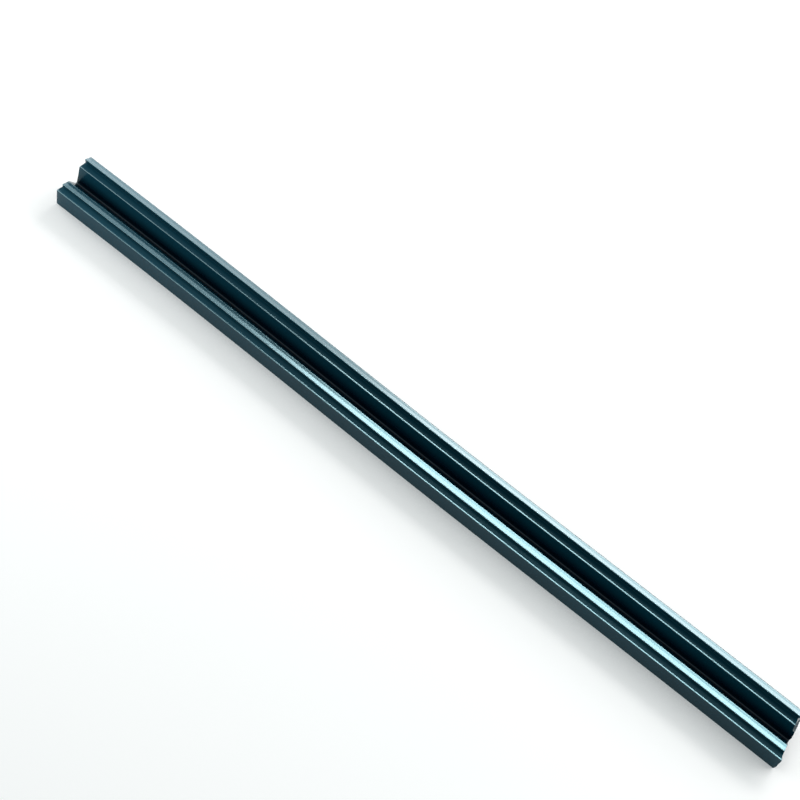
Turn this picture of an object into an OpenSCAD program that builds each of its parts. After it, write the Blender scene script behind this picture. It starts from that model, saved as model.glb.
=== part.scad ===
// Rubber gasket strip: one solid extruded length with a low rib at the front,
// a narrow valley and a tall rib at the back. Each rib has a level shoulder with a
// small rim at its front, a lip behind the shoulder, and a top that dips behind the lip.
// Lies flat on its base. X along the strip, +Y from the low rib to the tall rib,
// +Z up, origin at the centre of the footprint on the base.

/* [Overall] */
// Length of the longest edge, from the square end to the slanted end
strip_l = 500; // [200:10:1000]
// Height of the tall rib at its lip
strip_h = 17.7; // [14.5:0.1:26]
// Thickness of rubber under the valley floor
web_t = 5.4; // [2.5:0.1:6]

/* [Shoulders] */
// Width of the shoulder in front of each lip, with its rim
shoulder_w = 3.9; // [2.5:0.1:6]
// Width of the rim at the front of each shoulder
rim_w = 0.6; // [0.5:0.1:1.8]
// Angle at which each rim falls back to its shoulder
rim_fall = 12; // [5:1:30]
// Lean of the outer front face from upright
front_lean = 4.6; // [0:0.2:8]

/* [Low rib] */
// Height of the low rib at its lip
low_rib_h = 10.6; // [8.8:0.1:13]
// Height of the low rib's lip above its shoulder
low_lip_h = 1.5; // [0.8:0.05:2.4]
// Width of the slope behind the low rib's lip
low_lip_w = 2.3; // [1.5:0.1:6]
// Fall of the slope behind the low rib's lip
low_lip_fall = 12; // [4:1:20]
// Width of the rest of the low rib's top
low_top_w = 1.9; // [1:0.1:6]
// Fall of the rest of the low rib's top
low_top_fall = 6; // [0:0.5:8]
// Slope of the low rib's inner side
inner_slope = 46; // [38:1:60]

/* [Valley] */
// Width of the valley floor
valley_floor_w = 0.8; // [0.4:0.1:4]

/* [Tall rib] */
// Height of the tall rib's lip above its shoulder
tall_lip_h = 2.7; // [1.4:0.1:4.5]
// Width of the slope behind the tall rib's lip
tall_lip_w = 2.2; // [1:0.1:4]
// Fall of the slope behind the tall rib's lip
tall_lip_fall = 22; // [10:1:35]
// Width of the rest of the tall rib's top
tall_top_w = 2.4; // [1.5:0.1:8]
// Fall of the rest of the tall rib's top
tall_top_fall = 17; // [0:0.5:20]
// Lean of the tall rib's inner face from upright
inner_lean = 14; // [4:1:17]

/* [Edges] */
// Radius of the crisp edges
edge_r = 0.2; // [0.1:0.05:0.5]
// Radius of the hollow at the foot of each lip
foot_r = 0.25; // [0.1:0.05:1]
// Radius of the hollow behind each rim
rim_r = 0.3; // [0.1:0.1:2]
// Radius of the corners of the valley floor
valley_r = 0.25; // [0.1:0.05:0.4]
// Radius of the hollow in each top, behind its lip
dish_r = 5; // [1:0.5:10]
// Radius of the low rib's inner shoulder
inner_shoulder_r = 1.6; // [0.5:0.1:3]
// Radius of the tall rib's back edge
back_r = 1.8; // [0.4:0.1:2.5]

/* [Slanted end] */
// Skew of the slanted cut in plan
end_skew = 25; // [0:1:35]
// Lean of the slanted cut, the base cut back further than the top
end_lean = 17; // [0:1:25]

/* [Hidden] */
arc_steps = 6;

rim_h = rim_w * tan(rim_fall);

// Low rib: shoulder, front edge, lip, bottom of the slope behind the lip, back of the top
low_shoulder_z = low_rib_h - low_lip_h;
low_edge_z = low_shoulder_z + rim_h;
low_edge_y = low_edge_z * tan(front_lean);
low_lip_y = low_edge_y + shoulder_w;
low_dip_y = low_lip_y + low_lip_w;
low_dip_z = low_rib_h - low_lip_w * tan(low_lip_fall);
low_back_y = low_dip_y + low_top_w;
low_back_z = low_dip_z - low_top_w * tan(low_top_fall);

// Front and back of the valley floor
floor_front_y = low_back_y + (low_back_z - web_t) / tan(inner_slope);
floor_back_y = floor_front_y + valley_floor_w;

// Tall rib: shoulder, front edge, lip, bottom of the slope behind the lip, back of the top
tall_shoulder_z = strip_h - tall_lip_h;
tall_edge_z = tall_shoulder_z + rim_h;
tall_edge_y = floor_back_y + (tall_edge_z - web_t) * tan(inner_lean);
tall_lip_y = tall_edge_y + shoulder_w;
tall_dip_y = tall_lip_y + tall_lip_w;
tall_dip_z = strip_h - tall_lip_w * tan(tall_lip_fall);
strip_w = tall_dip_y + tall_top_w;
tall_back_z = tall_dip_z - tall_top_w * tan(tall_top_fall);

// Section corners in order, each as [y, z, radius]
corners = [
    [0, 0, edge_r],
    [low_edge_y, low_edge_z, edge_r],
    [low_edge_y + rim_w, low_shoulder_z, rim_r],
    [low_lip_y, low_shoulder_z, foot_r],
    [low_lip_y, low_rib_h, edge_r],
    [low_dip_y, low_dip_z, dish_r],
    [low_back_y, low_back_z, inner_shoulder_r],
    [floor_front_y, web_t, valley_r],
    [floor_back_y, web_t, valley_r],
    [tall_edge_y, tall_edge_z, edge_r],
    [tall_edge_y + rim_w, tall_shoulder_z, rim_r],
    [tall_lip_y, tall_shoulder_z, foot_r],
    [tall_lip_y, strip_h, edge_r],
    [tall_dip_y, tall_dip_z, dish_r],
    [strip_w, tall_back_z, back_r],
    [strip_w, 0, edge_r]
];

function unit(v) = v / norm(v);
function turn(a, b) = b - a > 180 ? b - a - 360 : b - a < -180 ? b - a + 360 : b - a;
function corner_at(i) = corners[(i + len(corners)) % len(corners)];
function place(i) = [corner_at(i)[0], corner_at(i)[1]];

// Direction from corner i to corner j, and half the angle between the walls at corner i
function toward(i, j) = unit(place(j) - place(i));
function half_angle(i) = acos(toward(i, i - 1) * toward(i, i + 1)) / 2;

// Length of wall that the full radius of corner i would take on each side
function full_run(i) = corner_at(i)[2] / tan(half_angle(i));

// The same, limited to corner i's share of the wall to corner j
function shared_run(i, j) = full_run(i)
    * min(1, norm(place(j) - place(i)) / (full_run(i) + full_run(j)));

// Arc that rounds corner i, its radius limited by the shorter wall
function corner_arc(i) =
    let (run = min(shared_run(i, i - 1), shared_run(i, i + 1)))
    let (r = run * tan(half_angle(i)))
    let (to_centre = unit(toward(i, i - 1) + toward(i, i + 1)))
    let (centre = place(i) + to_centre * r / sin(half_angle(i)))
    let (from = place(i) + toward(i, i - 1) * run - centre)
    let (to = place(i) + toward(i, i + 1) * run - centre)
    let (start = atan2(from[1], from[0]))
    let (sweep = turn(start, atan2(to[1], to[0])))
    [for (k = [0 : arc_steps])
        centre + r * [cos(start + sweep * k / arc_steps), sin(start + sweep * k / arc_steps)]];

section = [for (i = [0 : len(corners) - 1]) for (q = corner_arc(i)) q];

// Furthest reach of the slanted end along the strip, measured from its cut plane at the origin
cut_reach = max([for (q = section) q[1] * tan(end_lean) - q[0] * tan(end_skew)]);
cut_pitch = atan(tan(end_lean) * cos(end_skew));

// Raw length beyond the finished strip, all of it removed by the slanted cut
end_allowance = strip_w;
cutter_size = 4 * strip_w;

// Node to draw

// Everything beyond the slanted end
module end_waste() {
    translate([strip_l / 2 - cut_reach, -strip_w / 2, 0])
        rotate([0, cut_pitch, end_skew])
            translate([0, -cutter_size / 2, -cutter_size / 2])
                cube(cutter_size);
}

// The whole strip: the section drawn along X, one end square and one cut on a slant
module gasket_strip() {
    color([0.09, 0.12, 0.13])
        difference() {
            translate([-strip_l / 2, -strip_w / 2, 0])
                rotate([90, 0, 90])
                    linear_extrude(height = strip_l + end_allowance)
                        polygon(section);
            end_waste();
        }
}

gasket_strip();
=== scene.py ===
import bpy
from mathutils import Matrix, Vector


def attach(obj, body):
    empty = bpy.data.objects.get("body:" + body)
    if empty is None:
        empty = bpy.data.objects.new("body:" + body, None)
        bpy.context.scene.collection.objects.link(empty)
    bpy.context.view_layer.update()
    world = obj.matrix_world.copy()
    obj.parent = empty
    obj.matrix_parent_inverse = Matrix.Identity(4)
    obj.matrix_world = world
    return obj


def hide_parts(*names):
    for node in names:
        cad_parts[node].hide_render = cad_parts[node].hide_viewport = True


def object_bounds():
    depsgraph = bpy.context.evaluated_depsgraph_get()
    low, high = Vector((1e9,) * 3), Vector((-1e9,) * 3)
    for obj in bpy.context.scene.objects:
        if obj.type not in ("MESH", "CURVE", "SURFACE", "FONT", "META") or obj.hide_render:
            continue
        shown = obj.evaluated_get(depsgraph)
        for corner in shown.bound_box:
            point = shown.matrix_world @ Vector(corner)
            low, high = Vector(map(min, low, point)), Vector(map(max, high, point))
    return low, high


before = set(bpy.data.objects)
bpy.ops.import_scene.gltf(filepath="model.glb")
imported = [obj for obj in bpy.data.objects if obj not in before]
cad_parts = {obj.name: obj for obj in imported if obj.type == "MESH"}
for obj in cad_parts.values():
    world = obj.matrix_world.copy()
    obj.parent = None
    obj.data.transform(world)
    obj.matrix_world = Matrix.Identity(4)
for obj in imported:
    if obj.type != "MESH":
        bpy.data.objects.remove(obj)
cad_box = [list(corner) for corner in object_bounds()]

import math

import bpy
from mathutils import Vector

scene = bpy.context.scene

# The strip is one length of solid blue-black rubber, pushed hot through a die and cured,
# so its section is the same all along. A knife cut it square at one end and on a slant at
# the other, and it lies on its flat base with a slight bow.
MM = 0.001
strip_length = cad_box[1][0] - cad_box[0][0]
square_end_x = cad_box[0][0]


def square_end_outline(cad_strip):
    """Walks round the square end of the CAD strip and gives its (y, z) points in order."""
    next_to = {}
    for face in cad_strip.data.polygons:
        if abs(face.normal.x) > 0.5:
            continue
        corners = [cad_strip.data.vertices[i].co for i in face.vertices]
        on_end = [
            (round(p.y, 7), round(p.z, 7)) for p in corners if p.x < square_end_x + 0.01 * MM
        ]
        if len(on_end) == 2:
            next_to.setdefault(on_end[0], set()).add(on_end[1])
            next_to.setdefault(on_end[1], set()).add(on_end[0])
    first = min(next_to, key=lambda p: (round(p[1], 4), p[0]))
    second = max(next_to[first], key=lambda p: p[1] - p[0])
    walk = [first, second]
    while True:
        onward = [p for p in next_to[walk[-1]] if p != walk[-2]]
        if onward[0] == first:
            return walk[::-1]
        walk.append(onward[0])


def with_flat_walls(outline, gap, pitch):
    """Adds points along every long wall, the first and last close to its ends, so that
    shading stays flat on it and a cut across it can be ragged."""
    held = []
    for here, there in zip(outline, outline[1:] + outline[:1]):
        held.append(here)
        run = math.dist(here, there)
        if run > 4 * gap:
            inner = run - 2 * gap
            count = max(2, math.ceil(inner / pitch))
            steps = [gap + inner * i / count for i in range(count + 1)]
            held += [
                tuple(a + (b - a) * step / run for a, b in zip(here, there)) for step in steps
            ]
    return held


def edge_glint_amount(outline, edge_radius):
    """How much painted highlight each point gets: 1 on the crisp outer edges, 0 on the walls and in
    hollows.
    """
    glint_share = []
    count = len(outline)
    for i, here in enumerate(outline):
        before, after = outline[i - 1], outline[(i + 1) % count]
        ahead = math.atan2(after[1] - here[1], after[0] - here[0])
        behind = math.atan2(here[1] - before[1], here[0] - before[0])
        turn = (ahead - behind + math.pi) % (2 * math.pi) - math.pi
        curve = turn / max(1e-9, 0.5 * (math.dist(before, here) + math.dist(here, after)))
        glint_share.append(min(1.0, max(0.0, 2 * curve * edge_radius - 1)))
    return glint_share


def valley_depth(outline):
    """How deep each point lies in the valley between the ribs: 0 outside it, 1 on its floor."""
    floor_z, mouth_z = 5.4 * MM, 11.5 * MM
    front_wall_y, back_wall_y = -3.7 * MM, 4.0 * MM
    slack = 0.1 * MM
    inside = [front_wall_y < y < back_wall_y and z > floor_z - slack for y, z in outline]
    return [
        min(1.0, max(0.0, (mouth_z - z) / (mouth_z - floor_z))) if within else 0.0
        for within, (y, z) in zip(inside, outline)
    ]


corner_gap, wall_pitch = 0.15 * MM, 0.7 * MM
crisp_edge_radius = 0.2 * MM
die_outline = square_end_outline(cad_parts["gasket_strip"])
outline = with_flat_walls(die_outline, corner_gap, wall_pitch)
glint_share = edge_glint_amount(outline, crisp_edge_radius)

# The sweep lays its profile out turned half way round, so the outline goes in negated.
section_mesh = bpy.data.meshes.new("strip_section")
section_mesh.from_pydata(
    [(-y, -z, 0) for y, z in outline],
    [(i, (i + 1) % len(outline)) for i in range(len(outline))],
    [],
)
# The first attribute places the painted edge highlights, the second the painted shade in the
# valley.
for name, values in (("painted_edge_glint", glint_share), ("valley_depth", valley_depth(outline))):
    section_mesh.attributes.new(name, "FLOAT", "POINT").data.foreach_set("value", values)

extrusion = bpy.data.node_groups.new("extruded_strip", "GeometryNodeTree")
add, join = extrusion.nodes.new, extrusion.links.new


def socket_in(name, kind, value=None):
    socket = extrusion.interface.new_socket(name, in_out="INPUT", socket_type=kind)
    if value is not None:
        socket.default_value = value
    return socket


section_in = socket_in("Section", "NodeSocketGeometry")
sizes_in = {
    "Length": strip_length,
    "Stations": 220,
    "End skew": math.tan(math.radians(25)),
    "End lean": math.tan(math.radians(17)),
    "Cut edge round": 0.14 * MM,
    "Bow once": -0.335 * MM,
    "Bow twice": 0.301 * MM,
    "Bow thrice": 0.328 * MM,
    "Bow shift": 0.15 * MM,
    "Ripple": 0.002 * MM,
    "Cut wobble": 0.12 * MM,
    "Square end out": 0.35 * MM,
    "Front corner out": 0.6 * MM,
    "Base corner back": 1.3 * MM,
    "Wall torn": 0.9 * MM,
    "Back foot out": 0.4 * MM,
    "Seed": 7.0,
}
inputs = {
    name: socket_in(name, "NodeSocketInt" if name == "Stations" else "NodeSocketFloat")
    for name in sizes_in
}
extrusion.interface.new_socket("Strip", in_out="OUTPUT", socket_type="NodeSocketGeometry")
given = add("NodeGroupInput")
result = add("NodeGroupOutput")


def plug(value, socket):
    if isinstance(value, bpy.types.NodeSocket):
        join(value, socket)
    else:
        socket.default_value = value


def calc(operation, *values):
    node = add("ShaderNodeMath")
    node.operation = operation
    for value, socket in zip(values, node.inputs):
        plug(value, socket)
    return node.outputs[0]


def total(*values):
    result_so_far = values[0]
    for value in values[1:]:
        result_so_far = calc("ADD", result_so_far, value)
    return result_so_far


def product(*values):
    result_so_far = values[0]
    for value in values[1:]:
        result_so_far = calc("MULTIPLY", result_so_far, value)
    return result_so_far


def vector(x=0.0, y=0.0, z=0.0):
    node = add("ShaderNodeCombineXYZ")
    for value, socket in zip((x, y, z), node.inputs):
        plug(value, socket)
    return node.outputs[0]


def split(value):
    node = add("ShaderNodeSeparateXYZ")
    join(value, node.inputs[0])
    return node.outputs


def moved(geometry, offset):
    node = add("GeometryNodeSetPosition")
    join(geometry, node.inputs["Geometry"])
    join(offset, node.inputs["Offset"])
    return node.outputs[0]


def noise(place, scale, seed_step, detail=2.0):
    """Smooth noise from -1 to 1."""
    node = add("ShaderNodeTexNoise")
    node.noise_dimensions = "4D"
    join(place, node.inputs["Vector"])
    join(total(given.outputs["Seed"], seed_step), node.inputs["W"])
    node.inputs["Scale"].default_value = scale
    node.inputs["Detail"].default_value = detail
    return calc("MULTIPLY_ADD", node.outputs[0], 2.0, -1.0)


# Path: a straight line with its first and last few stations crowded together
# where the cut edges are rounded.
length, stations = given.outputs["Length"], given.outputs["Stations"]
rounding = given.outputs["Cut edge round"]
line = add("GeometryNodeCurvePrimitiveLine")
line.inputs["End"].default_value = (1, 0, 0)
spread = add("GeometryNodeResampleCurve")
join(line.outputs[0], spread.inputs["Curve"])
join(stations, spread.inputs["Count"])
station = add("GeometryNodeInputIndex").outputs[0]
last_station = calc("SUBTRACT", stations, 1.0)
station_from_far = calc("SUBTRACT", last_station, station)
quarter_turn = math.pi / 2
crowded = 3.0
near_turn = product(calc("MINIMUM", station, crowded), quarter_turn / crowded)
far_turn = product(calc("MINIMUM", station_from_far, crowded), quarter_turn / crowded)
spread_count = calc("SUBTRACT", last_station, 2 * crowded)
along = calc("DIVIDE", calc("SUBTRACT", station, crowded), spread_count)
along = calc("MINIMUM", calc("MAXIMUM", along, 0.0), 1.0)
inner_length = calc("SUBTRACT", length, product(rounding, 2.0))
path_x = total(
    product(calc("SUBTRACT", along, 0.5), inner_length),
    product(calc("COSINE", far_turn), rounding),
    product(calc("COSINE", near_turn), rounding, -1.0),
)
place_path = add("GeometryNodeSetPosition")
join(spread.outputs[0], place_path.inputs["Geometry"])
join(vector(path_x), place_path.inputs["Position"])
inset = product(
    rounding,
    calc("SUBTRACT", 2.0, calc("ADD", calc("SINE", near_turn), calc("SINE", far_turn))),
)
keep_inset = add("GeometryNodeCaptureAttribute")
keep_inset.capture_items.new("FLOAT", "Inset")
join(place_path.outputs[0], keep_inset.inputs[0])
join(inset, keep_inset.inputs[1])

# Sweep: the section is drawn along the path and closed at both ends.
profile = add("GeometryNodeMeshToCurve")
join(given.outputs["Section"], profile.inputs[0])
sweep = add("GeometryNodeCurveToMesh")
join(keep_inset.outputs[0], sweep.inputs["Curve"])
join(profile.outputs[0], sweep.inputs["Profile Curve"])
sweep.inputs["Fill Caps"].default_value = True
# The end faces are split into triangles and marked before the cut is made ragged.
faces_along = calc("ABSOLUTE", split(add("GeometryNodeInputNormal").outputs[0])[0])
end_face_limit = 0.8
on_cut = calc("GREATER_THAN", faces_along, end_face_limit)
cut_ends = add("GeometryNodeTriangulate")
join(sweep.outputs[0], cut_ends.inputs["Mesh"])
join(on_cut, cut_ends.inputs["Selection"])
keep_cut = add("GeometryNodeCaptureAttribute")
keep_cut.domain = "FACE"
keep_cut.capture_items.new("BOOLEAN", "Cut")
join(cut_ends.outputs[0], keep_cut.inputs[0])
join(on_cut, keep_cut.inputs[1])

# Outward direction of each wall, in the plane of the section
wall_normal = add("GeometryNodeInputNormal").outputs[0]
_, wall_y, wall_z = split(wall_normal)
outward = add("ShaderNodeVectorMath")
outward.operation = "NORMALIZE"
join(vector(0.0, wall_y, wall_z), outward.inputs[0])
keep_outward = add("GeometryNodeCaptureAttribute")
keep_outward.capture_items.new("VECTOR", "Outward")
join(keep_cut.outputs[0], keep_outward.inputs[0])
join(outward.outputs[0], keep_outward.inputs[1])


def scaled(direction, amount):
    node = add("ShaderNodeVectorMath")
    node.operation = "SCALE"
    join(direction, node.inputs[0])
    plug(amount, node.inputs["Scale"])
    return node.outputs[0]


place = add("GeometryNodeInputPosition").outputs[0]
x, y, z = split(place)
long_place = add("ShaderNodeVectorMath")
long_place.operation = "MULTIPLY"
join(place, long_place.inputs[0])
drawn_out = 0.12
long_place.inputs[1].default_value = (drawn_out, 1.0, 1.0)
ripple_scale, wobble_scale = 260.0, 210.0
ripple = product(noise(long_place.outputs[0], ripple_scale, 0.0), given.outputs["Ripple"])
shaped = moved(
    keep_outward.outputs[0],
    scaled(keep_outward.outputs[1], calc("SUBTRACT", ripple, keep_inset.outputs[1])),
)

# Slanted end: each fibre of the strip is shortened to where the cut meets it.
share = calc("ADD", calc("DIVIDE", x, length), 0.5)
shoulder_y, shoulder_z = max(
    outline, key=lambda p: p[1] * sizes_in["End lean"] - p[0] * sizes_in["End skew"]
)
cut_back = calc(
    "SUBTRACT",
    product(calc("SUBTRACT", z, shoulder_z), given.outputs["End lean"]),
    product(calc("SUBTRACT", y, shoulder_y), given.outputs["End skew"]),
)
cut_back = calc("MINIMUM", cut_back, 0.0)


def hump(value, middle, reach):
    """1 where the value is at the middle, falling to 0 at the reach on both sides."""
    off = calc("DIVIDE", calc("SUBTRACT", value, middle), reach)
    return calc("MAXIMUM", calc("SUBTRACT", 1.0, product(off, off)), 0.0)


def ramp(value, start, stop):
    """0 up to the start, rising evenly to 1 at the stop."""
    node = add("ShaderNodeMapRange")
    for each, socket in zip((value, start, stop), node.inputs):
        plug(each, socket)
    return node.outputs[0]


# The slanted cut is ragged: the front corner is left long, the base corner is rounded back,
# and the tall rib tore across its inner wall, its lower part staying longer than the upper.
front_y = min(p[0] for p in outline)
corner_inset, corner_width = 0.8 * MM, 1.8 * MM
corner_z, corner_height = 9.0 * MM, 4.0 * MM
front_corner = product(
    given.outputs["Front corner out"],
    hump(y, front_y + corner_inset, corner_width),
    hump(z, corner_z, corner_height),
)
base_round_z = 4.0 * MM
below = calc("SUBTRACT", 1.0, ramp(z, 0.0, base_round_z))
base_corner = product(given.outputs["Base corner back"], below, below, -1.0)
tear_bottom_z, tear_top_z = 10.9 * MM, 11.3 * MM
lip_z, under_lip_z = 17.7 * MM, 15.5 * MM
tear_step = -1.72
torn_up = product(ramp(z, tear_bottom_z, tear_top_z), ramp(z, lip_z, under_lip_z), tear_step)
on_tall_rib = ramp(y, front_y + 12.0 * MM, front_y + 13.5 * MM)
lower_part = ramp(z, 4.0 * MM, 7.0 * MM)
torn = product(given.outputs["Wall torn"], on_tall_rib, total(lower_part, torn_up))
back_foot = product(
    given.outputs["Back foot out"],
    ramp(y, front_y + 17.0 * MM, front_y + 24.0 * MM),
    ramp(z, 14.0 * MM, 10.0 * MM),
)
ragged = total(cut_back, front_corner, base_corner, torn, back_foot)
shaped = moved(shaped, vector(product(share, ragged)))

# Knife wobble at both ends, and the bow of the whole length.
end_zones = 60.0
from_middle = calc("ABSOLUTE", calc("SUBTRACT", share, 0.5))
past_zone = calc("SUBTRACT", product(from_middle, end_zones), end_zones / 2 - 1)
near_end = calc("MAXIMUM", past_zone, 0.0)
wobble_size = given.outputs["Cut wobble"]
wobble = product(noise(vector(0.0, y, z), wobble_scale, 3.0), wobble_size, near_end)
wobble = calc("SUBTRACT", wobble, product(calc("SIGN", x), wobble_size, near_end, 0.5))
square_end = product(given.outputs["Square end out"], calc("LESS_THAN", x, 0.0), near_end, -1.0)
shaped = moved(shaped, vector(total(wobble, square_end)))
bow = given.outputs["Bow shift"]
for name, times in (("Bow once", 1), ("Bow twice", 2), ("Bow thrice", 3)):
    bow = total(bow, product(given.outputs[name], calc("SINE", product(share, math.pi * times))))
shaped = moved(shaped, vector(0.0, bow))

realize = add("GeometryNodeRealizeInstances")
join(shaped, realize.inputs[0])
rubber_everywhere = add("GeometryNodeSetMaterial")
join(realize.outputs[0], rubber_everywhere.inputs["Geometry"])
cut_faces = add("GeometryNodeSetMaterial")
join(rubber_everywhere.outputs[0], cut_faces.inputs["Geometry"])
join(keep_cut.outputs[1], cut_faces.inputs["Selection"])
join(cut_faces.outputs[0], result.inputs[0])


def shader(name):
    material = bpy.data.materials.new(name)
    material.use_nodes = True
    nodes, links = material.node_tree.nodes, material.node_tree.links
    return material, nodes, links, nodes["Principled BSDF"]


# Skin of the strip: dark blue-green rubber with long faint die lines, a fine grain and
# duller patches. Painted highlights on the crisp edges, painted light towards the square end,
# painted shade darkening the valley nearly to black and a thin painted highlight along its floor
# are colours laid on by place.
rubber, nodes, links, skin = shader("extruded_rubber")
skin.inputs["Specular IOR Level"].default_value = 0.22
skin.inputs["Specular Tint"].default_value = (0.34, 0.86, 0.97, 1.0)


def texture_place(nodes, links, stretch):
    coordinates = nodes.new("ShaderNodeTexCoord")
    mapping = nodes.new("ShaderNodeMapping")
    mapping.inputs["Scale"].default_value = stretch
    links.new(coordinates.outputs["Object"], mapping.inputs["Vector"])
    return mapping.outputs[0]


def texture_noise(nodes, links, place, scale, detail):
    texture = nodes.new("ShaderNodeTexNoise")
    texture.inputs["Scale"].default_value = scale
    texture.inputs["Detail"].default_value = detail
    links.new(place, texture.inputs["Vector"])
    return texture.outputs[0]


def between(nodes, links, factor, low, high, start=0.3, stop=0.7):
    span = nodes.new("ShaderNodeMapRange")
    links.new(factor, span.inputs[0])
    for socket, value in zip(span.inputs[1:], (start, stop, low, high)):
        socket.default_value = value
    return span.outputs[0]


patches = texture_noise(nodes, links, texture_place(nodes, links, (0.35, 1, 1)), 30.0, 3.0)
die_lines = texture_noise(nodes, links, texture_place(nodes, links, (0.004, 1, 1)), 1400.0, 4.0)
grain = texture_noise(nodes, links, texture_place(nodes, links, (0.7, 1, 1)), 2600.0, 3.0)
edge_glint_attribute = nodes.new("ShaderNodeAttribute")
edge_glint_attribute.attribute_name = "painted_edge_glint"

# Painted light: the rubber is painted lighter towards the square end.
painted_light_from_x, painted_light_to_x = -0.52 * strip_length, 0.0
tone = nodes.new("ShaderNodeMix")
tone.data_type = "RGBA"
tone.inputs["A"].default_value = (0.0008, 0.019, 0.031, 1)
tone.inputs["B"].default_value = (0.0015, 0.027, 0.043, 1)
links.new(between(nodes, links, patches, 0.0, 1.0), tone.inputs["Factor"])
along_strip = nodes.new("ShaderNodeSeparateXYZ")
links.new(texture_place(nodes, links, (1, 1, 1)), along_strip.inputs[0])
painted_light_end = nodes.new("ShaderNodeMix")
painted_light_end.data_type = "RGBA"
links.new(
    between(nodes, links, along_strip.outputs[0], 1.0, 0.0, painted_light_from_x, painted_light_to_x),
    painted_light_end.inputs["Factor"],
)
links.new(tone.outputs["Result"], painted_light_end.inputs["A"])
painted_light_end.inputs["B"].default_value = (0.006, 0.048, 0.076, 1)
# Painted highlight: the crisp outer edges are painted pale, in place of glints.
edge_glint_tone = nodes.new("ShaderNodeMix")
edge_glint_tone.data_type = "RGBA"
links.new(painted_light_end.outputs["Result"], edge_glint_tone.inputs["A"])
edge_glint_tone.inputs["B"].default_value = (0.3, 0.48, 0.53, 1)
links.new(between(nodes, links, edge_glint_attribute.outputs["Fac"], 0.0, 0.8, 0.0, 1.0), edge_glint_tone.inputs["Factor"])
# Painted shade: the valley is painted nearly black, darker the deeper it lies.
deep = nodes.new("ShaderNodeAttribute")
deep.attribute_name = "valley_depth"
valley_painted_shade = nodes.new("ShaderNodeMix")
valley_painted_shade.data_type = "RGBA"
links.new(edge_glint_tone.outputs["Result"], valley_painted_shade.inputs["A"])
valley_painted_shade.inputs["B"].default_value = (0.0004, 0.004, 0.01, 1)
links.new(between(nodes, links, deep.outputs["Fac"], 0.0, 0.95, 0.0, 0.7), valley_painted_shade.inputs["Factor"])
# Painted highlight: a thin pale line is painted along the valley floor.
valley_floor_glint = nodes.new("ShaderNodeMix")
valley_floor_glint.data_type = "RGBA"
links.new(valley_painted_shade.outputs["Result"], valley_floor_glint.inputs["A"])
valley_floor_glint.inputs["B"].default_value = (0.045, 0.05, 0.058, 1)
links.new(between(nodes, links, deep.outputs["Fac"], 0.0, 0.7, 0.995, 1.0), valley_floor_glint.inputs["Factor"])
links.new(valley_floor_glint.outputs["Result"], skin.inputs["Base Color"])

dullness = nodes.new("ShaderNodeMath")
dullness.operation = "ADD"
links.new(between(nodes, links, patches, 0.15, 0.18), dullness.inputs[0])
links.new(between(nodes, links, die_lines, -0.01, 0.01), dullness.inputs[1])
links.new(dullness.outputs[0], skin.inputs["Roughness"])

relief = nodes.new("ShaderNodeBump")
relief.inputs["Strength"].default_value = 0.03
relief.inputs["Distance"].default_value = 0.02 * MM
links.new(die_lines, relief.inputs["Height"])
skin_grain = nodes.new("ShaderNodeBump")
skin_grain.inputs["Strength"].default_value = 0.02
skin_grain.inputs["Distance"].default_value = 0.01 * MM
links.new(grain, skin_grain.inputs["Height"])
links.new(relief.outputs[0], skin_grain.inputs["Normal"])
links.new(skin_grain.outputs[0], skin.inputs["Normal"])

# Knife-cut faces: the same rubber without its skin, smooth, with fine drag lines.
cut_rubber, nodes, links, cut_skin = shader("knife_cut_rubber")
drag = texture_noise(nodes, links, texture_place(nodes, links, (1, 0.08, 1)), 3000.0, 4.0)
cut_tone = nodes.new("ShaderNodeMix")
cut_tone.data_type = "RGBA"
cut_tone.inputs["A"].default_value = (0.006, 0.024, 0.03, 1)
cut_tone.inputs["B"].default_value = (0.02, 0.05, 0.06, 1)
links.new(between(nodes, links, drag, 0.0, 1.0), cut_tone.inputs["Factor"])
links.new(cut_tone.outputs["Result"], cut_skin.inputs["Base Color"])
links.new(between(nodes, links, drag, 0.12, 0.2), cut_skin.inputs["Roughness"])
cut_relief = nodes.new("ShaderNodeBump")
cut_relief.inputs["Strength"].default_value = 0.08
cut_relief.inputs["Distance"].default_value = 0.03 * MM
links.new(drag, cut_relief.inputs["Height"])
links.new(cut_relief.outputs[0], cut_skin.inputs["Normal"])

rubber_everywhere.inputs["Material"].default_value = rubber
cut_faces.inputs["Material"].default_value = cut_rubber

section_object = bpy.data.objects.new("strip_section", section_mesh)
scene.collection.objects.link(section_object)
extruding = section_object.modifiers.new("extrude", "NODES")
extruding.node_group = extrusion
for name, value in sizes_in.items():
    extruding[inputs[name].identifier] = value
evaluated = section_object.evaluated_get(bpy.context.evaluated_depsgraph_get())
strip_mesh = bpy.data.meshes.new_from_object(evaluated)
section_object.modifiers.remove(extruding)
bpy.data.objects.remove(section_object)
strip_mesh.name = "gasket_strip_rubber"
for face in strip_mesh.polygons:
    face.use_smooth = strip_mesh.materials[face.material_index] == rubber
gasket_strip = bpy.data.objects.new("gasket_strip_rubber", strip_mesh)
scene.collection.objects.link(gasket_strip)
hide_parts("gasket_strip")
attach(gasket_strip, "root")

# Studio floor: a flat square of matt white paper, with a faint glow on the rays that see it.
floor_mesh = bpy.data.meshes.new("studio_floor")
half_floor = 6.0
floor_turns = ((-1, -1), (1, -1), (1, 1), (-1, 1))
floor_mesh.from_pydata(
    [(half_floor * across, half_floor * deep, 0) for across, deep in floor_turns],
    [],
    [(0, 1, 2, 3)],
)
studio_floor = bpy.data.objects.new("studio_floor", floor_mesh)
scene.collection.objects.link(studio_floor)
paper, nodes, links, paper_skin = shader("white_paper")
paper_skin.inputs["Base Color"].default_value = (0.9, 0.9, 0.9, 1)
paper_skin.inputs["Roughness"].default_value = 1.0
paper_skin.inputs["Specular IOR Level"].default_value = 0.0
paper_skin.inputs["Emission Color"].default_value = (1, 1, 1, 1)


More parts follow.
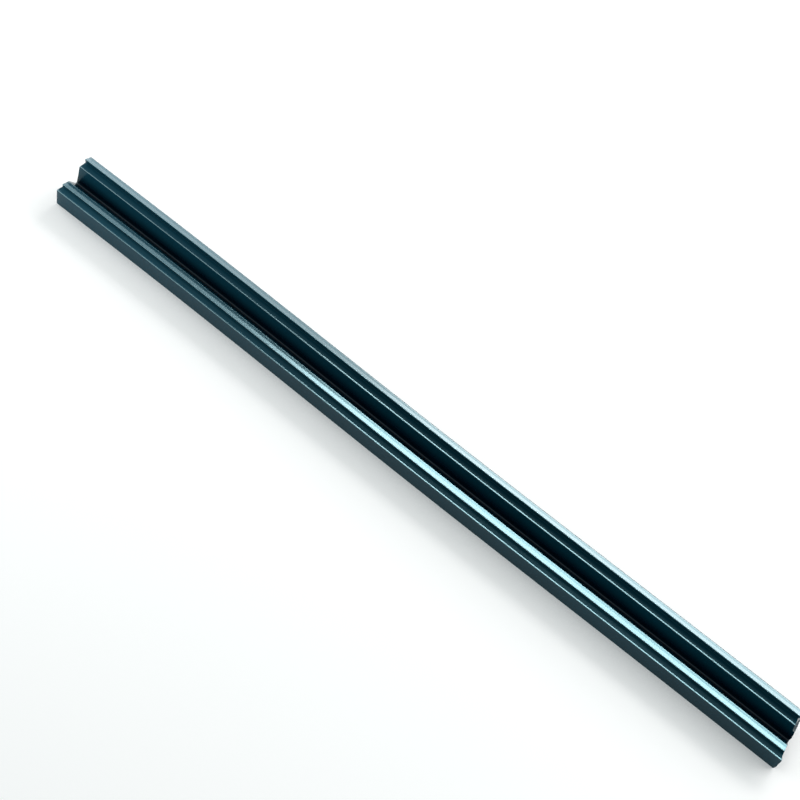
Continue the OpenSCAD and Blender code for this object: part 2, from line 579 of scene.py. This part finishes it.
def seen_ray(nodes, links):
    """1 on rays that see a surface or the sky, 0 on the rays that gather its light."""
    rays = nodes.new("ShaderNodeLightPath")
    seen = nodes.new("ShaderNodeMath")
    seen.operation = "MAXIMUM"
    links.new(rays.outputs["Is Camera Ray"], seen.inputs[0])
    links.new(rays.outputs["Is Glossy Ray"], seen.inputs[1])
    also = nodes.new("ShaderNodeMath")
    also.operation = "MAXIMUM"
    links.new(seen.outputs[0], also.inputs[0])
    links.new(rays.outputs["Is Transmission Ray"], also.inputs[1])
    return also.outputs[0]


links.new(
    between(nodes, links, seen_ray(nodes, links), 0.0, 0.1, 0.0, 1.0),
    paper_skin.inputs["Emission Strength"],
)
floor_mesh.materials.append(paper)

# World: an even, slightly cool white all round, a little over half strength.
world = bpy.data.worlds.new("studio")
scene.world = world
world.use_nodes = True
nodes, links = world.node_tree.nodes, world.node_tree.links
surround = nodes["Background"]
surround.inputs["Color"].default_value = (0.93, 1, 1, 1)
surround.inputs["Strength"].default_value = 0.56


# Lamps: three softboxes light the strip and the floor, the rear one without a gloss. Three
# strip lights show in gloss only, well above the plain level, and give the bright bands.
def softbox(name, azimuth, elevation, distance, width, height, power, matt=True, gloss=True):
    """A flat soft light that faces the strip. Azimuth is from +Y towards +X, in degrees."""
    lamp = bpy.data.lights.new(name, "AREA")
    lamp.shape = "RECTANGLE"
    lamp.size, lamp.size_y = width, height
    lamp.energy = power
    turn, rise = math.radians(azimuth), math.radians(elevation)
    holder = bpy.data.objects.new(name, lamp)
    holder.location = (
        distance * math.sin(turn) * math.cos(rise),
        distance * math.cos(turn) * math.cos(rise),
        distance * math.sin(rise),
    )
    holder.rotation_euler = (-holder.location).to_track_quat("-Z", "Y").to_euler()
    holder.visible_diffuse, holder.visible_glossy = matt, gloss
    scene.collection.objects.link(holder)
    return holder


back_softbox = softbox("back_softbox", 50, 21, 1.1, 0.9, 0.32, 5.6)
rear_softbox = softbox("rear_softbox", 0, 24, 1.2, 0.9, 0.4, 10.8, gloss=False)
for warm in (back_softbox, rear_softbox):
    warm.data.color = (1.0, 0.98, 0.97)
softbox("side_softbox", -90, 25, 0.85, 0.5, 0.35, 2.4)
softbox("high_strip_light", -18, 38, 1.6, 0.98, 0.45, 63, matt=False)
softbox("low_wide_light", -30, 17, 1.6, 1.49, 0.78, 23, matt=False)
softbox("low_strip_light", -15, 15, 1.65, 0.86, 0.68, 26, matt=False)

# Camera: above the low rib's side, towards the slanted end, with a long lens.
camera_data = bpy.data.cameras.new("camera")
camera_data.sensor_width = 36
camera_data.lens = 225
camera_data.clip_end = 50
camera = bpy.data.objects.new("camera", camera_data)
camera.location = (1.1265955, -1.0985036, 1.8332746)
aim = (-0.0343032, 0.020743, 0.0)
camera.rotation_euler = (Vector(aim) - camera.location).to_track_quat("-Z", "Y").to_euler()
scene.collection.objects.link(camera)
scene.camera = camera

scene.view_settings.view_transform = "Standard"
